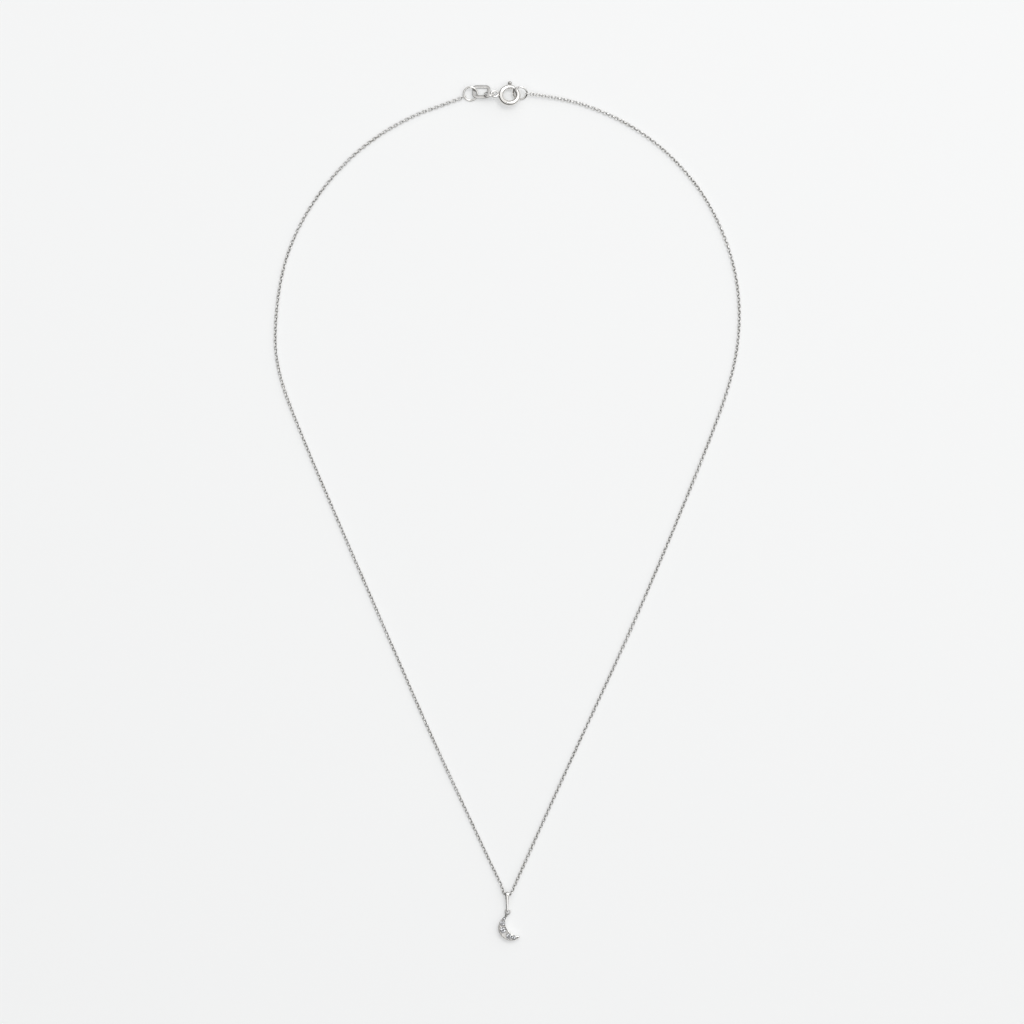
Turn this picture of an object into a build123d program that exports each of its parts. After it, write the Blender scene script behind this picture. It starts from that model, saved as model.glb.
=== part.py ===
from build123d import *
from math import acos, cos, degrees, radians, sin, sqrt, tan
import os

# A fine cable chain necklace with a crescent moon pendant, closed with a spring ring clasp.
# It lies flat: the table is z = 0, +Y runs from the pendant to the clasp, and +X is to the right.
# All sizes are in millimetres.

# Chain
chain_width = 0.82
hook_gap = 0.08
end_link_length = 1.35
end_link_width = 1.10
end_link_wire = 0.20

# Clasp: a hollow spring ring on a tilted plane, its lower edge resting on its thumb knob
clasp_x = 0.43
clasp_y = 90.10
clasp_height = 1.35
clasp_tilt = 18.0
clasp_ring_diameter = 4.90
clasp_tube_diameter = 1.13
clasp_wall = 0.18
clasp_radius = (clasp_ring_diameter - clasp_tube_diameter) / 2
clasp_bore = clasp_tube_diameter - 2 * clasp_wall
gap_start = 32.0
gap_end = 60.0
slot_clearance = 0.05
gate_clearance = 0.06
gate_diameter = clasp_bore - 2 * gate_clearance
gate_overlap = 6.0
trigger_travel = 36.0
knob_angle = 88.0
knob_stem_diameter = 0.30
knob_diameter = 0.86
knob_length = 0.62
knob_round = 0.12
knob_clearance = 0.06
eyelet_wire = 0.44
eyelet_hole = 1.00
eyelet_angle = 175.0
eyelet_sink = 0.17

# Jump rings: middle diameter, wire and tilt, and how far each lies to the right of the clasp's middle
# and above it. A chain end link hooks on at the hook angle and points along the heading.
end_ring_diameter = 2.97
end_ring_wire = 0.46
end_ring_right = -8.45
end_ring_above = 0.32
end_ring_x = clasp_x + end_ring_right
end_ring_y = clasp_y + end_ring_above
end_ring_tilt = -19.0
left_hook_angle = 205.0
left_hook_heading = 205.0

catch_ring_diameter = 2.97
catch_ring_wire = 0.46
catch_ring_right = 2.33
catch_ring_above = 0.42
catch_ring_x = clasp_x + catch_ring_right
catch_ring_y = clasp_y + catch_ring_above
catch_ring_height = 1.17
catch_ring_tilt = -32.6
right_hook_angle = -6.0
right_hook_heading = -4.0

link_ring_diameter = 2.16
link_ring_wire = 0.38
link_ring_right = -4.34
link_ring_above = 0.26
link_ring_x = clasp_x + link_ring_right
link_ring_y = clasp_y + link_ring_above
link_ring_tilt = 68.7

# Tag: a flat oblong ring, placed from the clasp's middle too
tag_right = -6.09
tag_above = 0.75
tag_x = clasp_x + tag_right
tag_y = clasp_y + tag_above
tag_rise = 0.08
tag_tilt = 19.7
tag_length = 3.95
tag_width = 3.05
tag_wall = 0.68
tag_thickness = 0.26
tag_corner = 1.00
tag_slot_corner = 0.30
tag_edge = 0.08

# Bail: a teardrop loop on edge, whose front face is a leaf wider than the rest of the band
bail_x = -0.04
chain_fold = -83.38
bail_above_fold = 0.98
bail_top = chain_fold + bail_above_fold
bail_length = 4.70
bail_wall = 0.28
bail_room = 1.20
bail_foot_room = 0.56
bail_leaf_width = 0.90
bail_band_width = 0.56
bail_foot_width = 0.36

# Where the chain begins and ends, beyond the end links at the rings
left_start_right = -2.17
left_start_above = -0.99
left_start_x = end_ring_x + left_start_right
left_start_y = end_ring_y + left_start_above
right_end_right = 2.39
right_end_above = -0.19
right_end_x = catch_ring_x + right_end_right
right_end_y = catch_ring_y + right_end_above

# Points that the chain's centre line turns at, from the end ring down to the fold in the bail
# and a little way up the other side. They are x, y and height above the table.
left_route = [
    (left_start_x, left_start_y, 0.55),
    (-14.3, 87.9, 0.42),
    (-19.8, 86.0, 0.42),
    (-27.4, 81.9, 0.42),
    (-34.9, 76.0, 0.42),
    (-42.6, 66.7, 0.42),
    (-48.1, 55.6, 0.42),
    (-50.3, 43.6, 0.42),
    (-50.4, 31.2, 0.42),
    (-44.1, 15.0, 0.42),
    (-35.7, -4.6, 0.42),
    (-26.0, -27.0, 0.42),
    (-16.5, -48.9, 0.42),
    (-8.7, -65.6, 0.42),
    (-4.5, -74.6, 0.42),
    (-2.4, -79.0, 0.50),
    (-1.22, -81.35, 0.70),
    (-0.76, chain_fold, 0.86),
    (0.66, chain_fold, 0.86),
    (1.20, -82.09, 0.78),
]

# From where the two halves meet, up the right side to the catch ring.
right_route = [
    (1.22, -82.04, 0.78),
    (2.14, -80.0, 0.66),
    (4.2, -75.4, 0.42),
    (8.6, -65.5, 0.42),
    (16.1, -49.0, 0.42),
    (25.6, -28.5, 0.42),
    (34.9, -6.9, 0.42),
    (43.1, 13.3, 0.42),
    (48.8, 28.7, 0.42),
    (50.7, 41.0, 0.42),
    (49.4, 53.6, 0.42),
    (44.1, 66.7, 0.42),
    (36.2, 76.6, 0.42),
    (27.4, 83.4, 0.42),
    (17.7, 87.9, 0.42),
    (9.8, 89.8, 0.50),
    (right_end_x, right_end_y, 1.09),
]
run_share = 0.45

# Moon: a crescent between two circles, which hangs by its upper tip
moon_outer_radius = 2.78
moon_inner_radius = 3.10
moon_width = 1.95
circles_apart = moon_inner_radius + moon_width - moon_outer_radius
moon_turn = 34.0
moon_thickness = 1.10
moon_tip_round = 0.14
moon_edge = 0.10
rim_width = 0.20
recess_depth = 0.12

# Ring soldered to the moon's upper tip, round the bail's foot, and how far its middle is from that tip
tip_ring_diameter = 1.08
tip_ring_wire = 0.28
tip_ring_beside_bail = 0.10
tip_ring_x = bail_x + tip_ring_beside_bail
tip_ring_y = bail_top - bail_length + bail_wall / 2
tip_ring_height = bail_wall + bail_foot_room / 2
tip_ring_right = 0.194
tip_ring_above = 0.851
solder_diameter = 0.62

# Stones from the upper tip to the lower one: the direction of each from the outer circle's middle
# in degrees, its place across the crescent from the inner edge, and its size, as shares of the width
stone_places = [
    (128.0, 0.66, 0.256),
    (152.0, 0.545, 0.492),
    (195.4, 0.491, 0.585),
    (255.7, 0.502, 0.564),
    (285.4, 0.56, 0.41),
]
stone_facets = 8
table_share = 0.56
crown_share = 0.16
girdle_share = 0.03
pavilion_share = 0.42
culet_share = 0.06
stone_clearance = 0.03

# Grains, the small beads raised between the stones: direction in degrees and share across
grain_diameter = 0.26
grain_sink = 0.06
grain_places = [
    (141.5, 0.82),
    (133.0, 0.22),
    (173.5, 0.76),
    (167.0, 0.20),
    (212.0, 0.80),
    (227.0, 0.28),
    (234.0, 0.76),
    (262.0, 0.12),
    (273.5, 0.82),
    (275.5, 0.22),
    (300.0, 0.40),
]


def tilted_place(x, y, height, tilt):
    """A place whose own XY plane is turned about the X direction; +Y side down if tilt is positive."""
    normal = (0, sin(radians(tilt)), cos(radians(tilt)))
    return Location(Plane(origin=(x, y, height), x_dir=(1, 0, 0), z_dir=normal))


def resting_height(diameter, wire, tilt):
    """Height of a tilted ring's centre when its lowest wire touches the table."""
    return wire / 2 + diameter / 2 * sin(radians(abs(tilt)))


def ring_of_wire(diameter, wire):
    return Torus(diameter / 2, wire / 2)


def arc_radii(points):
    """Each turn's radius: its arc takes the same share of the shorter run beside it."""
    radii = []
    for before, corner, after in zip(points, points[1:], points[2:]):
        run_in = Vector(*corner) - Vector(*before)
        run_out = Vector(*after) - Vector(*corner)
        turn = run_in.get_angle(run_out)
        shorter = min(run_in.length, run_out.length)
        radii.append(run_share * shorter / tan(radians(turn / 2)))
    return radii


def chain_tube(name, points):
    """A tube as thick as the chain is wide, along straight runs joined by tangent arcs."""
    radii = arc_radii(points)
    line = FilletPolyline(*points, radius=radii)
    start = Plane(origin=line @ 0, z_dir=line % 0)
    tube = sweep(start * Circle(chain_width / 2), path=line)
    expected = line.length * Circle(chain_width / 2).area
    print(name, "length", round(line.length, 2), "volume share", round(tube.volume / expected, 4))
    print(name, "radii", [round(radius, 2) for radius in radii])
    return tube


def end_link(place):
    """An oval link, its long side along the place's X direction."""
    middle_length = end_link_length - end_link_wire
    middle_width = end_link_width - end_link_wire
    straight = middle_length - middle_width
    path = Wire(SlotCenterToCenter(straight, middle_width).edges())
    section = Plane(origin=path @ 0, z_dir=path % 0) * Circle(end_link_wire / 2)
    return place * sweep(section, path=path)


def end_link_place(ring_place, ring_diameter, ring_wire, ring_angle, heading):
    """Hooks an end link round the ring's wire, standing upright and pointing along the chain."""
    clear = ring_wire / 2 + end_link_wire / 2 + hook_gap
    on_ring = ring_place * Pos(
        ring_diameter / 2 * cos(radians(ring_angle)), ring_diameter / 2 * sin(radians(ring_angle)), 0
    )
    reach = (end_link_length - end_link_wire) / 2 - clear
    along = Vector(cos(radians(heading)), sin(radians(heading)), 0)
    centre = on_ring.position + along * reach
    centre.Z = max(centre.Z, end_link_width / 2)
    upright = along.cross(Vector(0, 0, 1))
    return Location(Plane(origin=centre, x_dir=along, z_dir=upright))


def clasp_place():
    return tilted_place(clasp_x, clasp_y, clasp_height, clasp_tilt)


def bend(section, start, end):
    """Turns a section about the clasp's axis between two angles."""
    return Rot(0, 0, start) * revolve(section, axis=Axis.Z, revolution_arc=end - start)


def clasp_body():
    wall = Circle(clasp_tube_diameter / 2) - Circle(clasp_bore / 2)
    tube = bend(Plane.XZ * Pos(clasp_radius, 0) * wall, gap_end, gap_start + 360)
    slot_half = knob_stem_diameter / 2 + slot_clearance
    slot_margin = degrees(slot_half / clasp_radius)
    slot_section = Plane.XZ * Pos(clasp_radius + clasp_tube_diameter / 2, 0)
    slot_section = slot_section * Rectangle(clasp_tube_diameter, 2 * slot_half)
    slot = bend(slot_section, knob_angle - slot_margin, knob_angle + trigger_travel + slot_margin)
    eyelet_middle = (eyelet_hole + eyelet_wire) / 2
    eyelet_reach = clasp_ring_diameter / 2 + eyelet_hole / 2 + eyelet_wire - eyelet_sink
    eyelet = Rot(0, 0, eyelet_angle) * Pos(eyelet_reach, 0, 0) * Torus(eyelet_middle, eyelet_wire / 2)
    hollow = bend(Plane.XZ * Pos(clasp_radius, 0) * Circle(clasp_bore / 2), gap_end, gap_start + 360)
    return clasp_place() * (tube - slot + (eyelet - hollow))


def clasp_trigger():
    section = Plane.XZ * Pos(clasp_radius, 0) * Circle(gate_diameter / 2)
    gate = bend(section, gap_start - gate_overlap, knob_angle + gate_overlap)
    stem_length = clasp_tube_diameter / 2 + knob_clearance + knob_length / 2
    stem = Pos(clasp_radius + stem_length / 2, 0, 0) * Rot(0, 90, 0)
    stem = stem * Cylinder(knob_stem_diameter / 2, stem_length)
    knob_middle = clasp_radius + clasp_tube_diameter / 2 + knob_clearance + knob_length / 2
    knob = Pos(knob_middle, 0, 0) * Rot(0, 90, 0) * Cylinder(knob_diameter / 2, knob_length)
    knob = fillet(knob.edges().filter_by(GeomType.CIRCLE), knob_round)
    return clasp_place() * (gate + Rot(0, 0, knob_angle) * (stem + knob))


def tag():
    opening_length = tag_length - 2 * tag_wall
    opening_width = tag_width - 2 * tag_wall
    outline = RectangleRounded(tag_length, tag_width, tag_corner)
    opening = RectangleRounded(opening_length, opening_width, tag_slot_corner)
    plate = extrude(outline - opening, tag_thickness / 2, both=True)
    plate = chamfer(plate.edges().filter_by(Plane.XY), tag_edge)
    height = tag_width / 2 * sin(radians(tag_tilt)) + tag_thickness / 2 * cos(radians(tag_tilt))
    return tilted_place(tag_x, tag_y, height + tag_rise, tag_tilt) * plate


def bail_outline(inset):
    """The loop's side view, drawn with its length along X and its height along Y."""
    top_radius = bail_room / 2 + bail_wall - inset
    foot_radius = bail_foot_room / 2 + bail_wall - inset
    top_centre = (-(bail_room / 2 + bail_wall), bail_room / 2 + bail_wall)
    foot_centre = (-(bail_length - bail_foot_room / 2 - bail_wall), bail_foot_room / 2 + bail_wall)
    return make_hull(
        (Pos(*top_centre) * Circle(top_radius)).edges() + (Pos(*foot_centre) * Circle(foot_radius)).edges()
    )


def bail():
    side = bail_outline(0) - bail_outline(bail_wall)
    side_plane = Plane(origin=(bail_x, bail_top, 0), x_dir=(0, 1, 0), z_dir=(1, 0, 0))
    loop = extrude(side_plane * side, bail_leaf_width / 2, both=True)
    leaf_radius = bail_leaf_width / 2
    widest = Pos(bail_x, bail_top - leaf_radius, 0) * Circle(leaf_radius)
    foot = Pos(bail_x, bail_top - bail_length + bail_foot_width / 2, 0) * Circle(bail_foot_width / 2)
    leaf = make_hull(widest.edges() + foot.edges())
    split_height = bail_room / 2 + bail_wall
    upper = extrude(Pos(0, 0, split_height) * leaf, 2 * split_height)
    band = Pos(bail_x, bail_top - bail_length / 2, 0) * Rectangle(bail_band_width, bail_length)
    lower = extrude(band & leaf, split_height)
    return loop & (upper + lower)


def crescent(inset):
    """The moon's outline between its two circles, drawn about the outer circle's centre."""
    outer = Circle(moon_outer_radius - inset)
    bite = Pos(circles_apart, 0) * Circle(moon_inner_radius + inset)
    return Rot(0, 0, moon_turn) * (outer - bite)


def upper_tip(inset):
    """The upper tip of the crescent drawn with this inset, seen from the outer circle's centre."""
    outer = moon_outer_radius - inset
    inner = moon_inner_radius + inset
    squares = outer**2 + circles_apart**2 - inner**2
    half_opening = degrees(acos(squares / (2 * outer * circles_apart)))
    return Vector(outer, 0).rotate(Axis.Z, moon_turn + half_opening)


def moon_middle():
    """The outer circle's centre, below the soldered ring that the moon hangs by."""
    return Vector(tip_ring_x - tip_ring_right, tip_ring_y - tip_ring_above) - upper_tip(0)


def place_in_crescent(direction, share):
    """A place in a direction from the outer circle's centre, a share of the way across from the inner edge."""
    along = circles_apart * cos(radians(direction - moon_turn))
    inner_edge = along + sqrt(along**2 + moon_inner_radius**2 - circles_apart**2)
    reach = inner_edge + share * (moon_outer_radius - inner_edge)
    return moon_middle() + Vector(reach, 0).rotate(Axis.Z, direction)


def solder_place():
    """Halfway between the middle of the tip's rounding and the nearest wire of the soldered ring."""
    rounding = moon_middle() + upper_tip(moon_tip_round)
    ring_middle = Vector(tip_ring_x, tip_ring_y)
    wire = ring_middle + (rounding - ring_middle).normalized() * tip_ring_diameter / 2
    return (rounding + wire) / 2


def stone_heights(diameter):
    girdle = girdle_share * diameter
    crown = crown_share * diameter
    pavilion = pavilion_share * diameter
    return girdle, crown, pavilion


def stone(direction, share, size_share):
    place = place_in_crescent(direction, share)
    diameter = size_share * moon_width
    girdle, crown, pavilion = stone_heights(diameter)
    seat = moon_thickness - recess_depth
    outline = RegularPolygon(diameter / 2, stone_facets)
    table = scale(outline, table_share)
    culet = scale(outline, culet_share)
    body = extrude(outline, girdle)
    top = loft([Pos(0, 0, girdle) * outline, Pos(0, 0, girdle + crown) * table], ruled=True)
    base = loft([Pos(0, 0, -pavilion) * culet, outline], ruled=True)
    return Pos(place.X, place.Y, seat) * (base + body + top)


def stone_seat(direction, share, size_share):
    place = place_in_crescent(direction, share)
    diameter = size_share * moon_width
    girdle, crown, pavilion = stone_heights(diameter)
    seat = moon_thickness - recess_depth
    radius = diameter / 2 + stone_clearance
    depth = pavilion + stone_clearance
    cone = Cone(culet_share * radius, radius, depth, align=(Align.CENTER, Align.CENTER, Align.MAX))
    mouth = Cylinder(radius, moon_thickness, align=(Align.CENTER, Align.CENTER, Align.MIN))
    return Pos(place.X, place.Y, seat) * (cone + mouth)


def moon():
    plate = extrude(fillet(crescent(0).vertices(), moon_tip_round), moon_thickness)
    plate = chamfer(plate.faces().sort_by(Axis.Z)[-1].edges(), moon_edge)
    recess = Pos(0, 0, moon_thickness - recess_depth) * extrude(crescent(rim_width), recess_depth)
    middle = moon_middle()
    setting = Pos(middle.X, middle.Y, 0) * (plate - recess)
    for direction, share in grain_places:
        place = place_in_crescent(direction, share)
        height = moon_thickness - recess_depth + grain_diameter / 2 - grain_sink
        setting = setting + Pos(place.X, place.Y, height) * Sphere(grain_diameter / 2)
    for direction, share, size_share in stone_places:
        setting = setting - stone_seat(direction, share, size_share)
    tip_ring = Pos(tip_ring_x, tip_ring_y, tip_ring_height) * Torus(tip_ring_diameter / 2, tip_ring_wire / 2)
    joint = solder_place()
    solder = Pos(joint.X, joint.Y, tip_ring_height) * Sphere(solder_diameter / 2)
    return setting + tip_ring + solder


def build_parts():
    end_ring_height = resting_height(end_ring_diameter, end_ring_wire, end_ring_tilt)
    end_ring_place = tilted_place(end_ring_x, end_ring_y, end_ring_height, end_ring_tilt)
    catch_ring_place = tilted_place(catch_ring_x, catch_ring_y, catch_ring_height, catch_ring_tilt)
    link_ring_height = resting_height(link_ring_diameter, link_ring_wire, link_ring_tilt)
    link_ring_place = tilted_place(link_ring_x, link_ring_y, link_ring_height, link_ring_tilt)
    left_hook = end_link_place(
        end_ring_place, end_ring_diameter, end_ring_wire, left_hook_angle, left_hook_heading
    )
    right_hook = end_link_place(
        catch_ring_place, catch_ring_diameter, catch_ring_wire, right_hook_angle, right_hook_heading
    )
    parts = {
        "chain_left": chain_tube("chain_left", left_route),
        "chain_right": chain_tube("chain_right", right_route),
        "left_end_link": end_link(left_hook),
        "right_end_link": end_link(right_hook),
        "end_ring": end_ring_place * ring_of_wire(end_ring_diameter, end_ring_wire),
        "catch_ring": catch_ring_place * ring_of_wire(catch_ring_diameter, catch_ring_wire),
        "link_ring": link_ring_place * ring_of_wire(link_ring_diameter, link_ring_wire),
        "tag": tag(),
        "clasp_body": clasp_body(),
        "clasp_trigger": clasp_trigger(),
        "bail": bail(),
        "moon": moon(),
    }
    for number, (direction, share, size_share) in enumerate(stone_places, start=1):
        parts[f"stone_{number}"] = stone(direction, share, size_share)
    return parts


parts = build_parts()
os.makedirs("parts", exist_ok=True)
for name, solid in parts.items():
    export_step(solid, f"parts/{name}.step")
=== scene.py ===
"""Moon pendant necklace: real chain links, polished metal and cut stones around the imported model."""

from math import acos, atan2, cos, degrees, hypot, pi, radians, sin, sqrt
from random import Random

import bmesh
import bpy
from bpy.props import FloatProperty, FloatVectorProperty, IntProperty, PointerProperty
from mathutils import Matrix, Vector


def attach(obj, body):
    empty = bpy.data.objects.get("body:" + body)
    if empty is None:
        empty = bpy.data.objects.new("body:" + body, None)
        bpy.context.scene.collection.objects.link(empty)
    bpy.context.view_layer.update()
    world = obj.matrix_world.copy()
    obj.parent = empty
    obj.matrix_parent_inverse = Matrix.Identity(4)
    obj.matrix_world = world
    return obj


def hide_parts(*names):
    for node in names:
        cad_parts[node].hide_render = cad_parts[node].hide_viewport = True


bl_info = {
    "name": "Moon Pendant Necklace",
    "version": (1, 0, 0),
    "blender": (4, 5, 0),
    "location": "3D View > Sidebar > Necklace",
    "description": "Fine cable chain with a spring ring clasp and a crescent moon set with clear stones",
    "category": "Object",
}

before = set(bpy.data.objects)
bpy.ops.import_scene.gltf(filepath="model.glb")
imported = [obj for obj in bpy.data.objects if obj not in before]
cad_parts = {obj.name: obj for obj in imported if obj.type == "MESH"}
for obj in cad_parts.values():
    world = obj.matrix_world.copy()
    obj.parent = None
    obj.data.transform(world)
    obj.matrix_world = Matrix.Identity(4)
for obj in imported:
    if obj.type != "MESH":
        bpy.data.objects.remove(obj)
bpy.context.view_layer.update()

# Sizes are in metres, and mm turns a size in millimetres into one. Angles are in degrees.
mm = 0.001

# Chain: points that its line turns at, in millimetres. The left route goes from the clasp's left side down
# to the bail and through it, and the right route goes on from there up to the catch ring.
left_route = [
    (-10.19, 89.43, 0.55),
    (-14.3, 87.9, 0.42),
    (-19.8, 86.0, 0.42),
    (-27.4, 81.9, 0.42),
    (-34.9, 76.0, 0.42),
    (-42.6, 66.7, 0.42),
    (-48.1, 55.6, 0.42),
    (-50.3, 43.6, 0.42),
    (-50.4, 31.2, 0.42),
    (-44.1, 15.0, 0.42),
    (-35.7, -4.6, 0.42),
    (-26.0, -27.0, 0.42),
    (-16.5, -48.9, 0.42),
    (-8.7, -65.6, 0.42),
    (-4.5, -74.6, 0.42),
    (-2.4, -79.0, 0.50),
    (-1.22, -81.35, 0.70),
    (-0.76, -83.38, 0.86),
    (0.66, -83.38, 0.86),
]
right_route = [
    (1.20, -82.09, 0.78),
    (2.14, -80.0, 0.66),
    (4.2, -75.4, 0.42),
    (8.6, -65.5, 0.42),
    (16.1, -49.0, 0.42),
    (25.6, -28.5, 0.42),
    (34.9, -6.9, 0.42),
    (43.1, 13.3, 0.42),
    (48.8, 28.7, 0.42),
    (50.7, 41.0, 0.42),
    (49.4, 53.6, 0.42),
    (44.1, 66.7, 0.42),
    (36.2, 76.6, 0.42),
    (27.4, 83.4, 0.42),
    (17.7, 87.9, 0.42),
    (9.8, 89.8, 0.50),
    (5.15, 90.33, 1.09),
]
chain_line_steps = 40
link_bend_steps = 10
link_side_steps = 2
link_wire_sides = 12
end_margin = 0.06 * mm
# The links lie flat near the chain's ends, and roll over between these distances from an end.
roll_begins = 6 * mm
roll_full = 42 * mm
# Waves in the roll: how far each turns the links, its length along the chain for a radian, and its start
roll_waves = ((9.0, 7.3 * mm, 0.0), (7.0, 2.9 * mm, 1.3))
# How much painted shade darkens the links where they hook through each other, and the value of the links'
# wear and painted shade at which the metal begins to brighten and at which it is fully bright
hook_painted_shade = 0.9
link_shaded_below = 0.25
link_unshaded_above = 0.65

# Clasp: its angles go round the ring from its right side, past the gap and the knob
clasp_centre = Vector((0.43, 90.10, 1.35)) * mm
clasp_tilt = 18.0
clasp_ring_radius = 1.885 * mm
clasp_tube_radius = 0.565 * mm
clasp_bore_radius = 0.385 * mm
bore_overrun = 3.0
gap_start = 32.0
gap_end = 60.0
gate_radius = 0.325 * mm
gate_start = 26.0
gate_end = 94.0
trigger_travel = 36.0
slot_half = 0.20 * mm
knob_angle = 88.0
stem_radius = 0.15 * mm
stem_rise = 0.04 * mm
eyelet_angle = 175.0
eyelet_reach = 3.22 * mm
eyelet_radius = 0.72 * mm
eyelet_wire = 0.44 * mm
# Soldered joint between the tube and the eyelet: a ball, stretched along each direction
joint_radius = 0.62 * eyelet_wire
joint_stretch = (0.62, 1.25, 0.95)
joint_rise = 0.02 * mm
# Knob: radius and height above the clasp's tube in millimetres, from the stem out
knob_rows = [
    (0.30, 0.09),
    (0.40, 0.14),
    (0.43, 0.24),
    (0.43, 0.42),
    (0.41, 0.53),
    (0.36, 0.60),
    (0.27, 0.65),
    (0.12, 0.68),
]

# Jump rings: centre in millimetres, tilt, middle radius, wire and where each is cut
jump_rings = {
    "end_ring": ((-8.02, 90.42, 0.7135), -19.0, 1.485, 0.46, 118.0),
    "catch_ring": ((2.76, 90.52, 1.17), -32.6, 1.485, 0.46, 62.0),
    "link_ring": ((-3.91, 90.36, 1.1962), 68.7, 1.08, 0.38, 95.0),
}
ring_cut = 0.022 * mm

# Rounding of bent bars at their ends, as a share of the bar's radius, and the place of its middle row, as a
# share of the rounding
ring_end_round = 0.10
tube_end_round = 0.08
gate_end_round = 0.25
end_middle = 0.3

# Tag
tag_centre = Vector((-5.66, 90.85, 0.7165)) * mm
tag_tilt = 19.7
tag_length = 3.95 * mm
tag_width = 3.05 * mm
tag_wall = 0.68 * mm
tag_thickness = 0.26 * mm
tag_corner = 1.00 * mm
tag_slot_corner = 0.30 * mm
tag_edge = 0.07 * mm
tag_corner_steps = 10
tag_side_steps = 6

# Bail: a band bent into a loop, with a leaf on its front that tapers to the foot
bail_x = -0.04 * mm
bail_top = -82.40 * mm
bail_length = 4.70 * mm
bail_wall = 0.28 * mm
bail_room = 1.20 * mm
bail_foot_room = 0.56 * mm
bail_leaf_width = 0.90 * mm
bail_band_width = 0.56 * mm
bail_foot_width = 0.36 * mm
bail_least_width = 0.20 * mm
bail_edge = 0.06 * mm
bail_bend_steps = 40
bail_run_steps = 18
# How far the leaf's outline starts below the bail's top
leaf_shift = 0.06 * mm
# The band widens into the leaf between these heights, measured from the middle of the loop.
leaf_from = -0.10 * mm
leaf_to = 0.30 * mm
# How much the band's and the leaf's edges lie below their crown, and where the crown has its rows, as shares
# of the half width
band_crown = 0.10 * mm
leaf_crown = 0.14 * mm
crown_rows = (-0.7, -0.4, 0.0, 0.4, 0.7)

# Moon: a crescent between two circles
moon_outer_radius = 2.78 * mm
moon_inner_radius = 3.10 * mm
moon_width = 1.95 * mm
circles_apart = moon_inner_radius + moon_width - moon_outer_radius
moon_turn = 34.0
moon_thickness = 1.10 * mm
moon_tip_round = 0.14 * mm
moon_edge = 0.14 * mm
moon_arc_steps = 64
moon_tip_steps = 6
rim_width = 0.22 * mm
recess_depth = 0.12 * mm
seat_height = moon_thickness - recess_depth
# The moon's outline from the table up: inset and height of its foot in millimetres, then its rounded edge,
# as drop below the top and inset in shares of the edge
foot_rows = ((0.08, 0.0), (0.025, 0.02), (0.0, 0.08))
edge_rows = ((1.0, 0.0), (0.5, 0.13), (0.13, 0.5), (0.0, 1.0))
# The rim's inner side in millimetres: inset past the rim's width with the drop below the top, then with the
# height above the sunk face
rim_side_rows = ((-0.04, 0.0), (-0.01, 0.02))
recess_side_rows = ((0.05, 0.01), (0.08, 0.0))
# Faces between these heights count as sunk, and are left dull and darkened with patina and painted shade.
recess_from = 0.3 * moon_thickness
recess_to = seat_height + 0.03 * mm
tip_ring_centre = Vector((0.06, -86.96, 0.56)) * mm
tip_ring_radius = 0.54 * mm
tip_ring_wire = 0.28 * mm
moon_tip = tip_ring_centre + Vector((-0.194, -0.851, 0)) * mm
solder_radius = 0.31 * mm
# Distances from the soldering at which its dark stain begins to fade and ends
stain_inside = 0.55 * mm
stain_outside = 1.10 * mm

# Stones from the upper tip to the lower one: the direction of each from the outer circle's middle, its place
# across the crescent from the inner edge and its size as shares of the width, and how far it is turned
stones = {
    "stone_1": (128.0, 0.66, 0.256, 8.0),
    "stone_2": (152.0, 0.545, 0.492, 31.0),
    "stone_3": (195.4, 0.491, 0.585, 14.0),
    "stone_4": (255.7, 0.502, 0.564, 40.0),
    "stone_5": (285.4, 0.56, 0.41, 22.0),
}
# Cut of the stones: reach of the table and of the middle rows as shares of the radius, then heights as
# shares of the diameter
table_share = 0.56
crown_middle_share = 0.80
base_middle_share = 0.24
crown_share = 0.16
girdle_share = 0.03
pavilion_share = 0.42

# Seats: their room round a stone, the reach of their lowest point as a share of their radius, how deep they
# begin to narrow, and how far they open just above the sunk face and above the rim
seat_clearance = 0.03 * mm
seat_point_share = 0.06
seat_shoulder = 0.06 * mm
seat_opening = 0.07 * mm
seat_opening_height = 0.01 * mm
seat_mouth = 0.08 * mm
seat_mouth_height = 0.1 * mm

# Grains: direction, share across the crescent and diameter in millimetres
grains = [
    (141.5, 0.82, 0.24),
    (133.0, 0.22, 0.24),
    (173.5, 0.76, 0.28),
    (167.0, 0.20, 0.28),
    (212.0, 0.80, 0.30),
    (227.0, 0.28, 0.30),
    (234.0, 0.76, 0.28),
    (262.0, 0.12, 0.26),
    (273.5, 0.82, 0.26),
    (275.5, 0.22, 0.26),
    (300.0, 0.40, 0.22),
]
grain_sink = 0.05 * mm

# Metal: how fine its clouds of tarnish, its uneven polish and its scratches are against a finish's grain,
# what the clouds leave of each colour and over which part of the noise they end, and how dull the brightest
# and the dullest places are against a finish's roughness
tarnish_fineness = 0.35
polish_fineness = 1.0
scratch_fineness = 3.5
tarnish_tint = (0.88, 0.87, 0.85)
tarnish_span = (0.32, 0.62)
polish_span = (0.6, 1.5)

# Stone: size of the faint veil in its colour, what it leaves of each colour and over which part of the noise
# it ends, how much the stone bends light, and how level a facet is where its painted shade begins to fade and
# where it is gone
veil_size = 0.5 * mm
veil_tint = (0.96, 0.97, 0.99)
veil_span = (0.3, 0.7)
stone_bending = 2.15
facet_shaded_below = 0.94
facet_unshaded_above = 0.99

# Stage: a lamp above a table, behind the necklace and to its right, under a white dome that is darker near
# the table and has an opening for the camera straight above
table_size = 16.0
table_mottle = 6.0
table_tint = (0.995, 0.995, 0.995)
glow_colour = (0.985, 1.0, 1.0)
lamp_size = (0.55, 0.40)
lamp_place = (0.22, 0.40, 0.85)
dome_strength = 1.15
# How far the dome leans to the right and towards the clasp
dome_lean = (16.0, 12.0)
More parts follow.
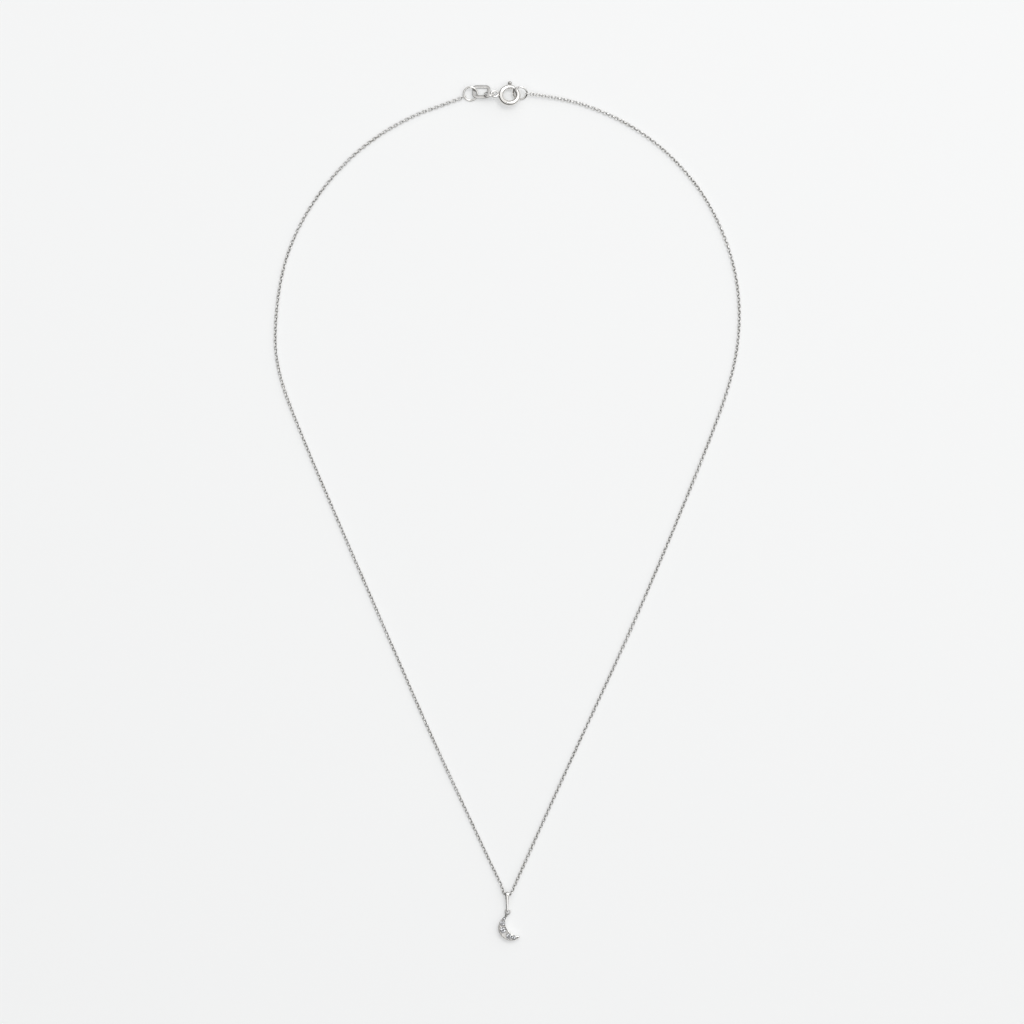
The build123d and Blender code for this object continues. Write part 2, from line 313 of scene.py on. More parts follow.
# Brightness of the dome at heights from its edge, 0, to its top, 1
dome_shades = ((0.0, 0.02), (0.32, 0.03), (0.47, 0.50), (0.60, 1.0), (0.80, 1.0))
opening_inside = 11.0
opening_outside = 20.0
opening_shade = 0.08
camera_lens = 200.0
camera_film_width = 36.0
camera_place = (0.99 * mm, -0.28 * mm)

# A cut that leaves fewer faces than this has failed.
least_faces = 20


class ChainSettings(bpy.types.PropertyGroup):
    link_length: FloatProperty(
        name="Link length", description="Outside length of a chain link", default=1.10 * mm, unit="LENGTH"
    )
    link_width: FloatProperty(
        name="Link width", description="Outside width of a chain link", default=0.82 * mm, unit="LENGTH"
    )
    link_wire: FloatProperty(
        name="Link wire", description="Thickness of a chain link's wire", default=0.20 * mm, unit="LENGTH"
    )
    link_pitch: FloatProperty(
        name="Pitch", description="Distance from one link to the next", default=0.69 * mm, unit="LENGTH"
    )
    side_roll: FloatProperty(
        name="Roll", description="How far the links lie over on the chain's sides",
        default=radians(32.0), subtype="ANGLE",
    )
    loose_roll: FloatProperty(
        name="Looseness", description="How far single links turn from their neighbours",
        default=radians(7.0), subtype="ANGLE",
    )
    seed: IntProperty(name="Seed", description="Which set of small turns the links take", default=11)


class FinishSettings(bpy.types.PropertyGroup):
    metal_colour: FloatVectorProperty(
        name="Metal", description="Colour of the polished metal", subtype="COLOR", default=(0.81, 0.80, 0.785)
    )
    metal_roughness: FloatProperty(
        name="Metal roughness", description="How dull the polish is", default=0.13, min=0.0, max=1.0
    )
    chain_roughness: FloatProperty(
        name="Chain roughness", description="How dull the links' polish is", default=0.35, min=0.0, max=1.0
    )
    chain_shade: FloatProperty(
        name="Chain tarnish", description="How much of the polished metal's brightness the links keep",
        default=1.0, min=0.0, max=1.0,
    )
    # Painted shade, with some tarnish: the links' inner sides and the ends where they hook are darkened.
    link_inside_painted_shade: FloatProperty(
        name="Link insides", description="How much of the links' brightness is left where nothing rubs them",
        default=0.60, min=0.0, max=1.0,
    )
    satin_roughness: FloatProperty(
        name="Satin roughness", description="How dull the knob and the moon's sunk face are",
        default=0.50, min=0.0, max=1.0,
    )
    satin_shade: FloatProperty(
        name="Knob shade", description="How much of the polished metal's brightness the knob keeps",
        default=0.66, min=0.0, max=1.0,
    )
    tag_shade: FloatProperty(
        name="Tag shade", description="How much of the polished metal's brightness the tag keeps",
        default=0.46, min=0.0, max=1.0,
    )
    tag_roughness: FloatProperty(
        name="Tag roughness", description="How dull the tag's brushed face is", default=0.36, min=0.0, max=1.0
    )
    # Patina and painted shade: darkens the moon's sunk face and its stones' seats.
    recess_patina_and_shade: FloatProperty(
        name="Recess shade", description="How much of the metal's brightness is left round the stones",
        default=0.78, min=0.0, max=1.0,
    )
    stain_shade: FloatProperty(
        name="Solder stain", description="How much of the metal's brightness is left at the soldering",
        default=0.40, min=0.0, max=1.0,
    )
    solder_roughness: FloatProperty(
        name="Solder roughness", description="How dull the soldered ring is", default=0.32, min=0.0, max=1.0
    )
    # Painted shade: darkens the stones' sloping facets against their level table.
    facet_painted_shade: FloatProperty(
        name="Film on the stones", description="How much light the worn sloping facets let through",
        default=0.45, min=0.0, max=1.0,
    )
    stone_colour: FloatVectorProperty(
        name="Stones", description="Colour of the stones", subtype="COLOR", default=(0.985, 0.99, 1.0)
    )


class StageSettings(bpy.types.PropertyGroup):
    picture_width: FloatProperty(
        name="Picture width", description="How wide a strip of the table the camera sees",
        default=222.2 * mm, unit="LENGTH",
    )
    table_colour: FloatVectorProperty(
        name="Table", description="Colour of the table", subtype="COLOR", default=(0.50, 0.50, 0.50)
    )
    table_glow: FloatProperty(
        name="Table glow", description="Light that comes up through the table", default=0.38, min=0.0
    )
    key_strength: FloatProperty(
        name="Main light", description="Strength of the large soft light above", default=3.4, min=0.0
    )


# Shapes are pairs of a list of points and a list of faces. Lines are lists of a point and the outward
# direction there, both in one plane.


def placed(shape, place):
    """The shape, moved and turned to its place."""
    points, faces = shape
    return [place @ Vector(point) for point in points], faces


def joined(shapes):
    """One shape of several that keep their places."""
    points = []
    faces = []
    for shape_points, shape_faces in shapes:
        start = len(points)
        points.extend(shape_points)
        faces.extend(tuple(start + index for index in face) for face in shape_faces)
    return points, faces


def tilted_place(centre, tilt):
    """The place of a ring or plate that is turned about X: a positive tilt lowers its +Y side."""
    turn = radians(tilt)
    across = Vector((0, cos(turn), -sin(turn)))
    normal = Vector((0, sin(turn), cos(turn)))
    place = Matrix((Vector((1, 0, 0)), across, normal)).transposed().to_4x4()
    place.translation = centre
    return place


def loop_faces(rings, sides, closed):
    """Faces between rings of points that follow each other. An open row of rings has both ends closed."""
    faces = []
    for ring in range(rings if closed else rings - 1):
        here = ring * sides
        there = (ring + 1) % rings * sides
        for step in range(sides):
            beside = (step + 1) % sides
            faces.append((here + step, there + step, there + beside, here + beside))
    if not closed:
        last = (rings - 1) * sides
        faces.append(tuple(range(sides)))
        faces.append(tuple(last + step for step in range(sides)))
    return faces


def circle_line(radius, steps):
    """A line round a circle."""
    line = []
    for step in range(steps):
        angle = 2 * pi * step / steps
        out = (cos(angle), sin(angle))
        line.append(((radius * out[0], radius * out[1]), out))
    return line


def oval_line(length, width, bend_steps, side_steps):
    """Middle line of an oval link, its long side along X."""
    radius = width / 2
    half_straight = (length - width) / 2
    line = []
    for end in (1, -1):
        for step in range(bend_steps + 1):
            angle = pi * (step / bend_steps - 0.5) + (0 if end == 1 else pi)
            out = (cos(angle), sin(angle))
            line.append(((end * half_straight + radius * out[0], radius * out[1]), out))
        for step in range(1, side_steps):
            share = 1 - 2 * step / side_steps
            line.append(((end * half_straight * share, end * radius), (0, end)))
    return line


def rounded_line(length, width, corner):
    """A line round a rectangle with rounded corners."""
    line = []
    half_x = length / 2 - corner
    half_y = width / 2 - corner
    corners = [(half_x, half_y, 0), (-half_x, half_y, 90), (-half_x, -half_y, 180), (half_x, -half_y, 270)]
    for index, (x, y, start) in enumerate(corners):
        for step in range(tag_corner_steps + 1):
            angle = radians(start + 90 * step / tag_corner_steps)
            line.append(((x + corner * cos(angle), y + corner * sin(angle)), (cos(angle), sin(angle))))
        next_x, next_y, next_start = corners[(index + 1) % 4]
        out = (cos(radians(next_start)), sin(radians(next_start)))
        from_x = x + corner * out[0]
        from_y = y + corner * out[1]
        to_x = next_x + corner * out[0]
        to_y = next_y + corner * out[1]
        for step in range(1, tag_side_steps):
            share = step / tag_side_steps
            line.append(((from_x + (to_x - from_x) * share, from_y + (to_y - from_y) * share), out))
    return line


def wire_loop(line, wire, sides):
    """A closed loop of round wire along a line."""
    points = []
    for (x, y), (out_x, out_y) in line:
        for step in range(sides):
            angle = 2 * pi * step / sides
            reach = wire / 2 * cos(angle)
            points.append((x + reach * out_x, y + reach * out_y, wire / 2 * sin(angle)))
    return points, loop_faces(len(line), sides, closed=True)


def arc_tube(radius, tube_radius, start, end, steps, sides, end_round):
    """A round bar bent about Z between two angles, with its ends closed and rounded."""
    edge = degrees(end_round * tube_radius / radius)
    stations = [(start, 1 - end_round), (start + end_middle * edge, 1 - end_middle * end_round)]
    for step in range(steps + 1):
        stations.append((start + edge + (end - start - 2 * edge) * step / steps, 1.0))
    stations.append((end - end_middle * edge, 1 - end_middle * end_round))
    stations.append((end, 1 - end_round))
    points = []
    for angle, share in stations:
        turn = radians(angle)
        for step in range(sides):
            around = 2 * pi * step / sides
            reach = radius + share * tube_radius * cos(around)
            points.append((reach * cos(turn), reach * sin(turn), share * tube_radius * sin(around)))
    return points, loop_faces(len(stations), sides, closed=False)


def arc_bar(inner, outer, half_height, start, end, steps):
    """A square bar bent about Z, for cutting a slot."""
    corners = ((inner, -half_height), (outer, -half_height), (outer, half_height), (inner, half_height))
    points = []
    for step in range(steps + 1):
        angle = radians(start + (end - start) * step / steps)
        for reach, height in corners:
            points.append((reach * cos(angle), reach * sin(angle), height))
    return points, loop_faces(steps + 1, len(corners), closed=False)


def turned(profile, sides):
    """A shape turned about Z from pairs of radius and height."""
    points = []
    for radius, height in profile:
        for step in range(sides):
            around = 2 * pi * step / sides
            points.append((radius * cos(around), radius * sin(around), height))
    return points, loop_faces(len(profile), sides, closed=False)


def ball(radius, sides, rows):
    """A ball with its poles on Z."""
    profile = []
    for row in range(1, rows):
        angle = pi * row / rows - pi / 2
        profile.append((radius * cos(angle), radius * sin(angle)))
    return turned(profile, sides)


def edge_steps(edge):
    """Inset and drop of points round a rounded edge, from the top face to the side."""
    return [(edge * (1 - sin(radians(angle))), edge * (1 - cos(radians(angle)))) for angle in (0, 30, 60, 90)]


def bar_edges(edge):
    """Rows round the four rounded edges of a flat bar: side, inset from it, face and drop from it.

    The first side and face are 1, and the ones across from them are -1.
    """
    rows = []
    for side, face in ((1, 1), (1, -1), (-1, -1), (-1, 1)):
        steps = edge_steps(edge)
        if side != face:
            steps.reverse()
        rows.extend((side, inset, face, drop) for inset, drop in steps)
    return rows


def smooth_step(value, start, end):
    """Rises softly from 0 to 1 while the value goes from the start to the end."""
    share = min(max((value - start) / (end - start), 0.0), 1.0)
    return share * share * (3 - 2 * share)


def solid_mesh(name, shape, finishes=None, wear_and_shade=None):
    """A mesh of the shape whose faces all look outwards, with each face's finish and each point's wear and
    painted shade.
    """
    points, faces = shape
    mesh = bpy.data.meshes.new(name)
    mesh.from_pydata([tuple(point) for point in points], [], faces)
    if finishes:
        mesh.polygons.foreach_set("material_index", finishes)
    if wear_and_shade:
        mesh.attributes.new("wear_and_shade", "FLOAT", "POINT").data.foreach_set("value", wear_and_shade)
    mesh.validate()
    surface = bmesh.new()
    surface.from_mesh(mesh)
    bmesh.ops.recalc_face_normals(surface, faces=surface.faces)
    surface.to_mesh(mesh)
    surface.free()
    mesh.update()
    return mesh


def make_piece(name, parts, body, node, sharp_angle=None, wear_and_shade=None):
    """Makes an object from pairs of a shape and its finish, and lets it stand for its CAD node.

    Its faces are shaded smooth, with sharp edges past the sharp angle, or all flat if that is 0.
    """
    shapes = [shape for shape, finish in parts]
    finishes = [index for index, (points, faces) in enumerate(shapes) for face in faces]
    mesh = solid_mesh(name, joined(shapes), finishes, wear_and_shade)
    for shape, finish in parts:
        mesh.materials.append(finish)
    if sharp_angle != 0:
        mesh.shade_smooth()
    if sharp_angle:
        mesh.set_sharp_from_angle(angle=radians(sharp_angle))
    piece = bpy.data.objects.new(name, mesh)
    bpy.context.scene.collection.objects.link(piece)
    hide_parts(node)
    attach(piece, body)
    return piece


def repaint(node, material):
    """Gives a CAD solid that stays in the picture its finish."""
    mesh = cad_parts[node].data
    mesh.materials.clear()
    mesh.materials.append(material)


def cut_away(shape, cutter_shape):
    """The shape with the cutter's space taken out of it."""
    holders = []
    for name, solid in (("blank", shape), ("cutter", cutter_shape)):
        mesh = solid_mesh(name, solid)
        # The cut works in millimetres, where it is most exact.
        mesh.transform(Matrix.Scale(1 / mm, 4))
        holder = bpy.data.objects.new(name, mesh)
        bpy.context.scene.collection.objects.link(holder)
        holders.append(holder)
    blank, cutter = holders
    cut = blank.modifiers.new("cut", "BOOLEAN")
    cut.operation = "DIFFERENCE"
    cut.solver = "EXACT"
    cut.object = cutter
    bpy.context.view_layer.update()
    result = bpy.data.meshes.new_from_object(blank.evaluated_get(bpy.context.evaluated_depsgraph_get()))
    points = [vertex.co * mm for vertex in result.vertices]
    faces = [tuple(face.vertices) for face in result.polygons]
    for holder in holders:
        mesh = holder.data
        bpy.data.objects.remove(holder)
        bpy.data.meshes.remove(mesh)
    bpy.data.meshes.remove(result)
    if len(faces) < least_faces:
        raise RuntimeError("the cut left nothing of the blank")
    return points, faces


def new_material(name):
    """An empty material with the principled shader on its surface."""
    material = bpy.data.materials.new(name)
    material.use_nodes = True
    tree = material.node_tree
    tree.nodes.clear()
    output = tree.nodes.new("ShaderNodeOutputMaterial")
    shader = tree.nodes.new("ShaderNodeBsdfPrincipled")
    tree.links.new(shader.outputs["BSDF"], output.inputs["Surface"])
    return material, tree, shader


def noise(tree, place, scale, detail=2.0, distortion=0.0):
    """A soft noise between 0 and 1."""
    texture = tree.nodes.new("ShaderNodeTexNoise")
    texture.inputs["Scale"].default_value = scale
    texture.inputs["Detail"].default_value = detail
    texture.inputs["Distortion"].default_value = distortion
    tree.links.new(place, texture.inputs["Vector"])
    return texture.outputs["Fac"]


def clouded(tree, clouds, colour, tint, span=(0.0, 1.0)):
    """The colour, tinted where the clouds' noise is low. The tint fades over a span of that noise."""
    ramp = tree.nodes.new("ShaderNodeValToRGB")
    tinted, clear = ramp.color_ramp.elements
    tinted.position = span[0]
    tinted.color = (*(part * share for part, share in zip(colour, tint)), 1)
    clear.position = span[1]
    clear.color = (*colour, 1)
    tree.links.new(clouds, ramp.inputs["Fac"])
    return ramp.outputs["Color"]


def shade_by(tree, value, dark_at, bright_at, shade):
    """A factor that goes from the shade to 1 while the value goes from one number to the other."""
    factor = tree.nodes.new("ShaderNodeMapRange")
    factor.interpolation_type = "SMOOTHSTEP"
    factor.inputs["From Min"].default_value = dark_at
    factor.inputs["From Max"].default_value = bright_at
    factor.inputs["To Min"].default_value = shade
    factor.inputs["To Max"].default_value = 1.0
    tree.links.new(value, factor.inputs["Value"])
    return factor.outputs["Result"]


def darkened(tree, colour, factor):
    """The colour times the factor."""
    darker = tree.nodes.new("ShaderNodeVectorMath")
    darker.operation = "SCALE"
    tree.links.new(colour, darker.inputs["Vector"])
    tree.links.new(factor, darker.inputs["Scale"])
    return darker.outputs["Vector"]


def white_metal(
    name, colour, roughness, grain_size, bump_height, inner_painted_shade=None, stain_shade=None, brushed=1.0
):
    """White metal with faint cloudy tarnish, uneven polish and hair-fine scratches.

    With an inner painted shade it is darker, by painted shade, where the mesh's wear and shade are low, and
    with a stain shade darker round the soldering. Brushed metal has its scratches drawn out that many times
    across the tag.
    """
    if name in bpy.data.materials:
        return bpy.data.materials[name]
    material, tree, shader = new_material(name)
    place = tree.nodes.new("ShaderNodeTexCoord").outputs["Object"]
    clouds = noise(tree, place, tarnish_fineness / grain_size, detail=3.0)
    base = clouded(tree, clouds, colour, tarnish_tint, tarnish_span)
    # Painted shade, with some tarnish: darker where the mesh's wear and shade value is low.
    if inner_painted_shade is not None:
        wear_and_shade = tree.nodes.new("ShaderNodeAttribute")
        wear_and_shade.attribute_name = "wear_and_shade"
        unshaded = shade_by(tree, wear_and_shade.outputs["Fac"], link_shaded_below, link_unshaded_above, inner_painted_shade)
        base = darkened(tree, base, unshaded)
    if stain_shade is not None:
        away = tree.nodes.new("ShaderNodeVectorMath")
        away.operation = "DISTANCE"
        away.inputs[1].default_value = solder_place()
        tree.links.new(place, away.inputs[0])
        left_bright = shade_by(tree, away.outputs["Value"], stain_inside, stain_outside, stain_shade)
        base = darkened(tree, base, left_bright)
    tree.links.new(base, shader.inputs["Base Color"])
    drawn = tree.nodes.new("ShaderNodeMapping")
    drawn.inputs["Scale"].default_value = (1, 1 / brushed, 1 / brushed)
    tree.links.new(place, drawn.inputs["Vector"])
    polish = noise(tree, drawn.outputs["Vector"], polish_fineness / grain_size, detail=4.0)
    dullness = tree.nodes.new("ShaderNodeMapRange")
    dullness.inputs["To Min"].default_value = roughness * polish_span[0]
    dullness.inputs["To Max"].default_value = roughness * polish_span[1]
    tree.links.new(polish, dullness.inputs["Value"])
    tree.links.new(dullness.outputs["Result"], shader.inputs["Roughness"])
    scratches = noise(
        tree, drawn.outputs["Vector"], scratch_fineness / grain_size, detail=6.0, distortion=1.2
    )
    bump = tree.nodes.new("ShaderNodeBump")
    bump.inputs["Strength"].default_value = 0.25
    bump.inputs["Distance"].default_value = bump_height
    tree.links.new(scratches, bump.inputs["Height"])
    tree.links.new(bump.outputs["Normal"], shader.inputs["Normal"])
    shader.inputs["Metallic"].default_value = 1.0
    return material


def finish_of(kind):
    """The metal of a kind of surface, made the first time that it is asked for."""
    finish = bpy.context.scene.necklace_finish
    hooked = {"inner_painted_shade": finish.link_inside_painted_shade}
    stained = {"stain_shade": finish.stain_shade}
    # Shade against the polished metal, roughness, grain, height of the scratches and what else it has
    kinds = {
        # The chain's metal takes painted shade, with some tarnish, on its links' inner sides and hooked ends.
        "chain": (finish.chain_shade, finish.chain_roughness, 0.9 * mm, 0.004 * mm, hooked),
        "clasp": (1.0, finish.metal_roughness, 1.4 * mm, 0.005 * mm, {}),
        "satin": (finish.satin_shade, finish.satin_roughness, 0.5 * mm, 0.012 * mm, {}),
        "tag": (finish.tag_shade, finish.tag_roughness, 0.3 * mm, 0.010 * mm, {"brushed": 12.0}),
        "moon": (1.0, finish.metal_roughness, 0.7 * mm, 0.010 * mm, stained),
        # Recess: patina and painted shade darken the sunk face and the seats.
        "recess": (finish.recess_patina_and_shade, finish.satin_roughness, 0.4 * mm, 0.015 * mm, stained),
        "solder": (1.0, finish.solder_roughness, 0.4 * mm, 0.012 * mm, stained),
    }
    shade, roughness, grain_size, bump_height, more = kinds[kind]
    colour = tuple(part * shade for part in finish.metal_colour)
    return white_metal(kind + "_metal", colour, roughness, grain_size, bump_height, **more)


def clear_stone():
    """Clear cut stone with a very faint veil in its colour, and painted shade that darkens its sloping
    facets.
    """
    name = "cut_stone"
    if name in bpy.data.materials:
        return bpy.data.materials[name]
    finish = bpy.context.scene.necklace_finish
    material, tree, shader = new_material(name)
    place = tree.nodes.new("ShaderNodeTexCoord").outputs["Object"]
    veil = noise(tree, place, 1 / veil_size)
    base = clouded(tree, veil, finish.stone_colour, veil_tint, veil_span)
    surface = tree.nodes.new("ShaderNodeNewGeometry")
    facing = tree.nodes.new("ShaderNodeSeparateXYZ")
    level = tree.nodes.new("ShaderNodeMath")
    level.operation = "ABSOLUTE"
    tree.links.new(surface.outputs["True Normal"], facing.inputs["Vector"])
    tree.links.new(facing.outputs["Z"], level.inputs[0])
    # Painted shade on the sloping facets: the more a facet slopes, the darker its colour.
    left_bright = shade_by(tree, level.outputs["Value"], facet_shaded_below, facet_unshaded_above, finish.facet_painted_shade)
    tree.links.new(darkened(tree, base, left_bright), shader.inputs["Base Color"])
    shader.inputs["Roughness"].default_value = 0.0
    shader.inputs["IOR"].default_value = stone_bending
    shader.inputs["Transmission Weight"].default_value = 1.0
    return material


def chain_line():
    """Points along the chain's smooth line, read from a spline through its route."""
    route = left_route + right_route
    curve = bpy.data.curves.new("chain_line", "CURVE")
    curve.dimensions = "3D"
    curve.resolution_u = chain_line_steps
    spline = curve.splines.new("NURBS")
    spline.points.add(len(route) - 1)
    for point, (x, y, z) in zip(spline.points, route):
        point.co = (x * mm, y * mm, z * mm, 1)
    spline.order_u = 3
    spline.use_endpoint_u = True
    holder = bpy.data.objects.new("chain_line", curve)
    bpy.context.scene.collection.objects.link(holder)
    bpy.context.view_layer.update()
    line = bpy.data.meshes.new_from_object(holder)
    points = [vertex.co.copy() for vertex in line.vertices]
    bpy.data.objects.remove(holder)
    bpy.data.curves.remove(curve)
    bpy.data.meshes.remove(line)
    return points


class Walk:
    """Finds the place at a distance along a line of points."""

    def __init__(self, points):
        self.points = points
        self.distances = [0.0]
        for before, after in zip(points, points[1:]):
            self.distances.append(self.distances[-1] + (after - before).length)
        self.length = self.distances[-1]
        self.at = 0

    def point(self, distance):
        distance = min(max(distance, 0.0), self.length)
        while self.at > 0 and self.distances[self.at] > distance:
            self.at -= 1
        while self.at < len(self.points) - 2 and self.distances[self.at + 1] < distance:
            self.at += 1
        run = self.distances[self.at + 1] - self.distances[self.at]
        share = (distance - self.distances[self.at]) / run
        return self.points[self.at].lerp(self.points[self.at + 1], share)


def lying_roll(distance, length, side_roll):
    """How far the flat links have rolled over at a distance along the chain, in radians as the side roll."""
    roll = side_roll
    for swing, wave_length, start in roll_waves:
        roll += radians(swing) * sin(distance / wave_length + start)
    from_end = min(distance, length - distance)
    return roll * smooth_step(from_end, roll_begins, roll_full)


def link_wear_and_shade(line):
    """How bright a link's points are left: painted shade, with some tarnish, darkens the wire's inner side
    and, most, the ends where links hook together.
    """
    wear_and_shade = []
    for point, out in line:
        unshaded = 1 - hook_painted_shade * abs(out[0])
        for step in range(link_wire_sides):
            wear_and_shade.append(unshaded * (1 + cos(2 * pi * step / link_wire_sides)) / 2)
    return wear_and_shade


class NECKLACE_OT_chain(bpy.types.Operator):
    """Makes both halves of the chain from real links that pass through each other"""

    bl_idname = "necklace.chain"
    bl_label = "Make the chain"

    def execute(self, context):
        settings = context.scene.necklace_chain
        walk = Walk(chain_line())
        # The count is odd, so that both end links lie flat.
        usable = walk.length - 2 * end_margin
        count = 2 * round(usable / settings.link_pitch / 2) + 1
        pitch = usable / (count - 1)
        line = oval_line(
            settings.link_length - settings.link_wire,
            settings.link_width - settings.link_wire,
            link_bend_steps,
            link_side_steps,
        )
        link = wire_loop(line, settings.link_wire, link_wire_sides)
        half_width = (settings.link_width - settings.link_wire) / 2
        turns = Random(settings.seed)
        links = []
        for number in range(count):
            distance = end_margin + number * pitch
            before = walk.point(distance - pitch / 2)
            after = walk.point(distance + pitch / 2)
            centre = (before + after) / 2
            along = (after - before).normalized()
            roll = lying_roll(distance, walk.length, settings.side_roll)
            roll += turns.uniform(-settings.loose_roll, settings.loose_roll)
            # A link that has rolled over stands less high, so it lies lower.
            centre.z -= half_width * (1 - max(abs(sin(roll)), abs(cos(roll))))
            if number % 2:
                roll += pi / 2
            side = Vector((0, 0, 1)).cross(along).normalized()
            upward = along.cross(side)
            across = side * cos(roll) + upward * sin(roll)
            place = Matrix((along, across, along.cross(across))).transposed().to_4x4()
            place.translation = centre
            links.append((centre, placed(link, place)))
        meeting = Vector(right_route[0]) * mm
        nearest = min(range(count), key=lambda index: (links[index][0] - meeting).length)
        halves = {"chain_left": links[:nearest], "chain_right": links[nearest:]}
        for node, half in halves.items():
            shape = joined([shape for centre, shape in half])
            parts = [(shape, finish_of("chain"))]
            # Each link's points carry its painted shade and wear.
            wear_and_shade = link_wear_and_shade(line) * len(half)
            make_piece(node + "_links", parts, "necklace", node, wear_and_shade=wear_and_shade)
        print("chain", count, "links, pitch", round(pitch / mm, 4), "line", round(walk.length / mm, 2))
        return {"FINISHED"}


class NECKLACE_OT_rings(bpy.types.Operator):
    """Makes the three jump rings with their saw cuts, and finishes the two end links"""

    bl_idname = "necklace.rings"
    bl_label = "Make the jump rings"

    def execute(self, context):
        metal = finish_of("clasp")
        for node, (centre, tilt, radius, wire, cut_angle) in jump_rings.items():
            half_cut = degrees(ring_cut / (radius * mm) / 2)
            bar = arc_tube(
                radius * mm, wire / 2 * mm, cut_angle + half_cut, cut_angle + 360 - half_cut,
                steps=96, sides=24, end_round=ring_end_round,
            )
            shape = placed(bar, tilted_place(Vector(centre) * mm, tilt))
            make_piece(node + "_wire", [(shape, metal)], "necklace", node, sharp_angle=40)
        for node in ("left_end_link", "right_end_link"):
            repaint(node, metal)
        return {"FINISHED"}


class NECKLACE_OT_tag(bpy.types.Operator):
    """Makes the flat oblong ring, left bare"""

    bl_idname = "necklace.tag"
    bl_label = "Make the tag"

    def execute(self, context):
        outer = rounded_line(tag_length, tag_width, tag_corner)
        inner = rounded_line(tag_length - 2 * tag_wall, tag_width - 2 * tag_wall, tag_slot_corner)
        rows = bar_edges(tag_edge)
        points = []
        for outer_point, inner_point in zip(outer, inner):
            for side, inset, face, drop in rows:
                (x, y), (out_x, out_y) = outer_point if side == 1 else inner_point
                push = -side * inset
                points.append((x + push * out_x, y + push * out_y, face * (tag_thickness / 2 - drop)))
        plate = (points, loop_faces(len(outer), len(rows), closed=True))
        shape = placed(plate, tilted_place(tag_centre, tag_tilt))
        make_piece("tag_plate", [(shape, finish_of("tag"))], "necklace", "tag", sharp_angle=35)
        return {"FINISHED"}


def clasp_tube():
    """The clasp's hollow ring with its gap and with the slot that the knob slides in, in the ring's plane."""
    outside = arc_tube(
        clasp_ring_radius, clasp_tube_radius, gap_end, gap_start + 360,
        steps=120, sides=32, end_round=tube_end_round,
    )
    bore = arc_tube(
        clasp_ring_radius, clasp_bore_radius, gap_end - bore_overrun, gap_start + 360 + bore_overrun,
        steps=120, sides=24, end_round=0.0,
    )
    margin = degrees(slot_half / clasp_ring_radius)
    slot = arc_bar(
        clasp_ring_radius, clasp_ring_radius + 2 * clasp_tube_radius, slot_half,
        knob_angle - margin, knob_angle + trigger_travel + margin, steps=24,
    )
    return cut_away(cut_away(outside, bore), slot)


def clasp_eyelet():
    """The eyelet and the joint that it is soldered on with, in the ring's plane."""
    turn = Matrix.Rotation(radians(eyelet_angle), 4, "Z")
    eyelet = wire_loop(circle_line(eyelet_radius, steps=64), eyelet_wire, sides=20)
    reach = clasp_ring_radius + clasp_tube_radius + joint_rise
    stretch = Matrix.Diagonal((*joint_stretch, 1))
    return joined([
        placed(eyelet, turn @ Matrix.Translation((eyelet_reach, 0, 0))),
        placed(ball(joint_radius, sides=20, rows=14), turn @ Matrix.Translation((reach, 0, 0)) @ stretch),
    ])


def thumb_knob():
    """The knob and its stem, standing out from the gate in the ring's plane."""
    outside = clasp_ring_radius + clasp_tube_radius
    profile = [(stem_radius, clasp_ring_radius + gate_radius / 2), (stem_radius, outside + stem_rise)]
    profile += [(radius * mm, outside + height * mm) for radius, height in knob_rows]
    lean = Matrix.Rotation(radians(knob_angle), 4, "Z") @ Matrix.Rotation(pi / 2, 4, "Y")
    return placed(turned(profile, sides=28), lean)


class NECKLACE_OT_clasp(bpy.types.Operator):
    """Makes the spring ring's hollow body with its eyelet, and its sliding trigger"""

    bl_idname = "necklace.clasp"
    bl_label = "Make the clasp"

    def execute(self, context):
        place = tilted_place(clasp_centre, clasp_tilt)
        parts = [(placed(joined([clasp_tube(), clasp_eyelet()]), place), finish_of("clasp"))]
        make_piece("clasp_shell", parts, "necklace", "clasp_body", sharp_angle=35)
        gate = arc_tube(
            clasp_ring_radius, gate_radius, gate_start, gate_end, steps=36, sides=24, end_round=gate_end_round
        )
        parts = [(placed(gate, place), finish_of("clasp")), (placed(thumb_knob(), place), finish_of("satin"))]
        make_piece("clasp_gate", parts, "trigger", "clasp_trigger", sharp_angle=40)
        return {"FINISHED"}


def bend(centre, radius, first, last, steps):
    """Points of an arc in the side view, each with its outward direction."""
    arc = []
    for step in range(steps + 1):
        angle = first + (last - first) * step / steps
        out = (cos(angle), sin(angle))
        arc.append((centre[0] + radius * out[0], centre[1] + radius * out[1], *out))
    return arc


def between(start, end, steps):
    """Points inside a straight run."""
    run = []
    for step in range(1, steps):
        share = step / steps
        run.append(tuple(a + (b - a) * share for a, b in zip(start, end)))
    return run


def bail_side():
    """The middle of the bail's wall in the side view: points along Y and Z, and their outward directions."""
    top_radius = (bail_room + bail_wall) / 2
    foot_radius = (bail_foot_room + bail_wall) / 2
    top_rise = bail_room / 2 + bail_wall
    foot_rise = bail_foot_room / 2 + bail_wall
    top = (bail_top - top_rise, top_rise)
    foot = (bail_top - bail_length + foot_rise, foot_rise)
    distance = hypot(foot[0] - top[0], foot[1] - top[1])
    heading = atan2(foot[1] - top[1], foot[0] - top[0])
    lean = acos((top_radius - foot_radius) / distance)
    top_bend = bend(top, top_radius, heading + lean, heading + 2 * pi - lean, bail_bend_steps)
    foot_bend = bend(foot, foot_radius, heading - lean, heading + lean, bail_bend_steps // 2)
    return [
        *top_bend,
        *between(top_bend[-1], foot_bend[0], bail_run_steps),
        *foot_bend,
        *between(foot_bend[-1], top_bend[0], bail_run_steps),
    ]


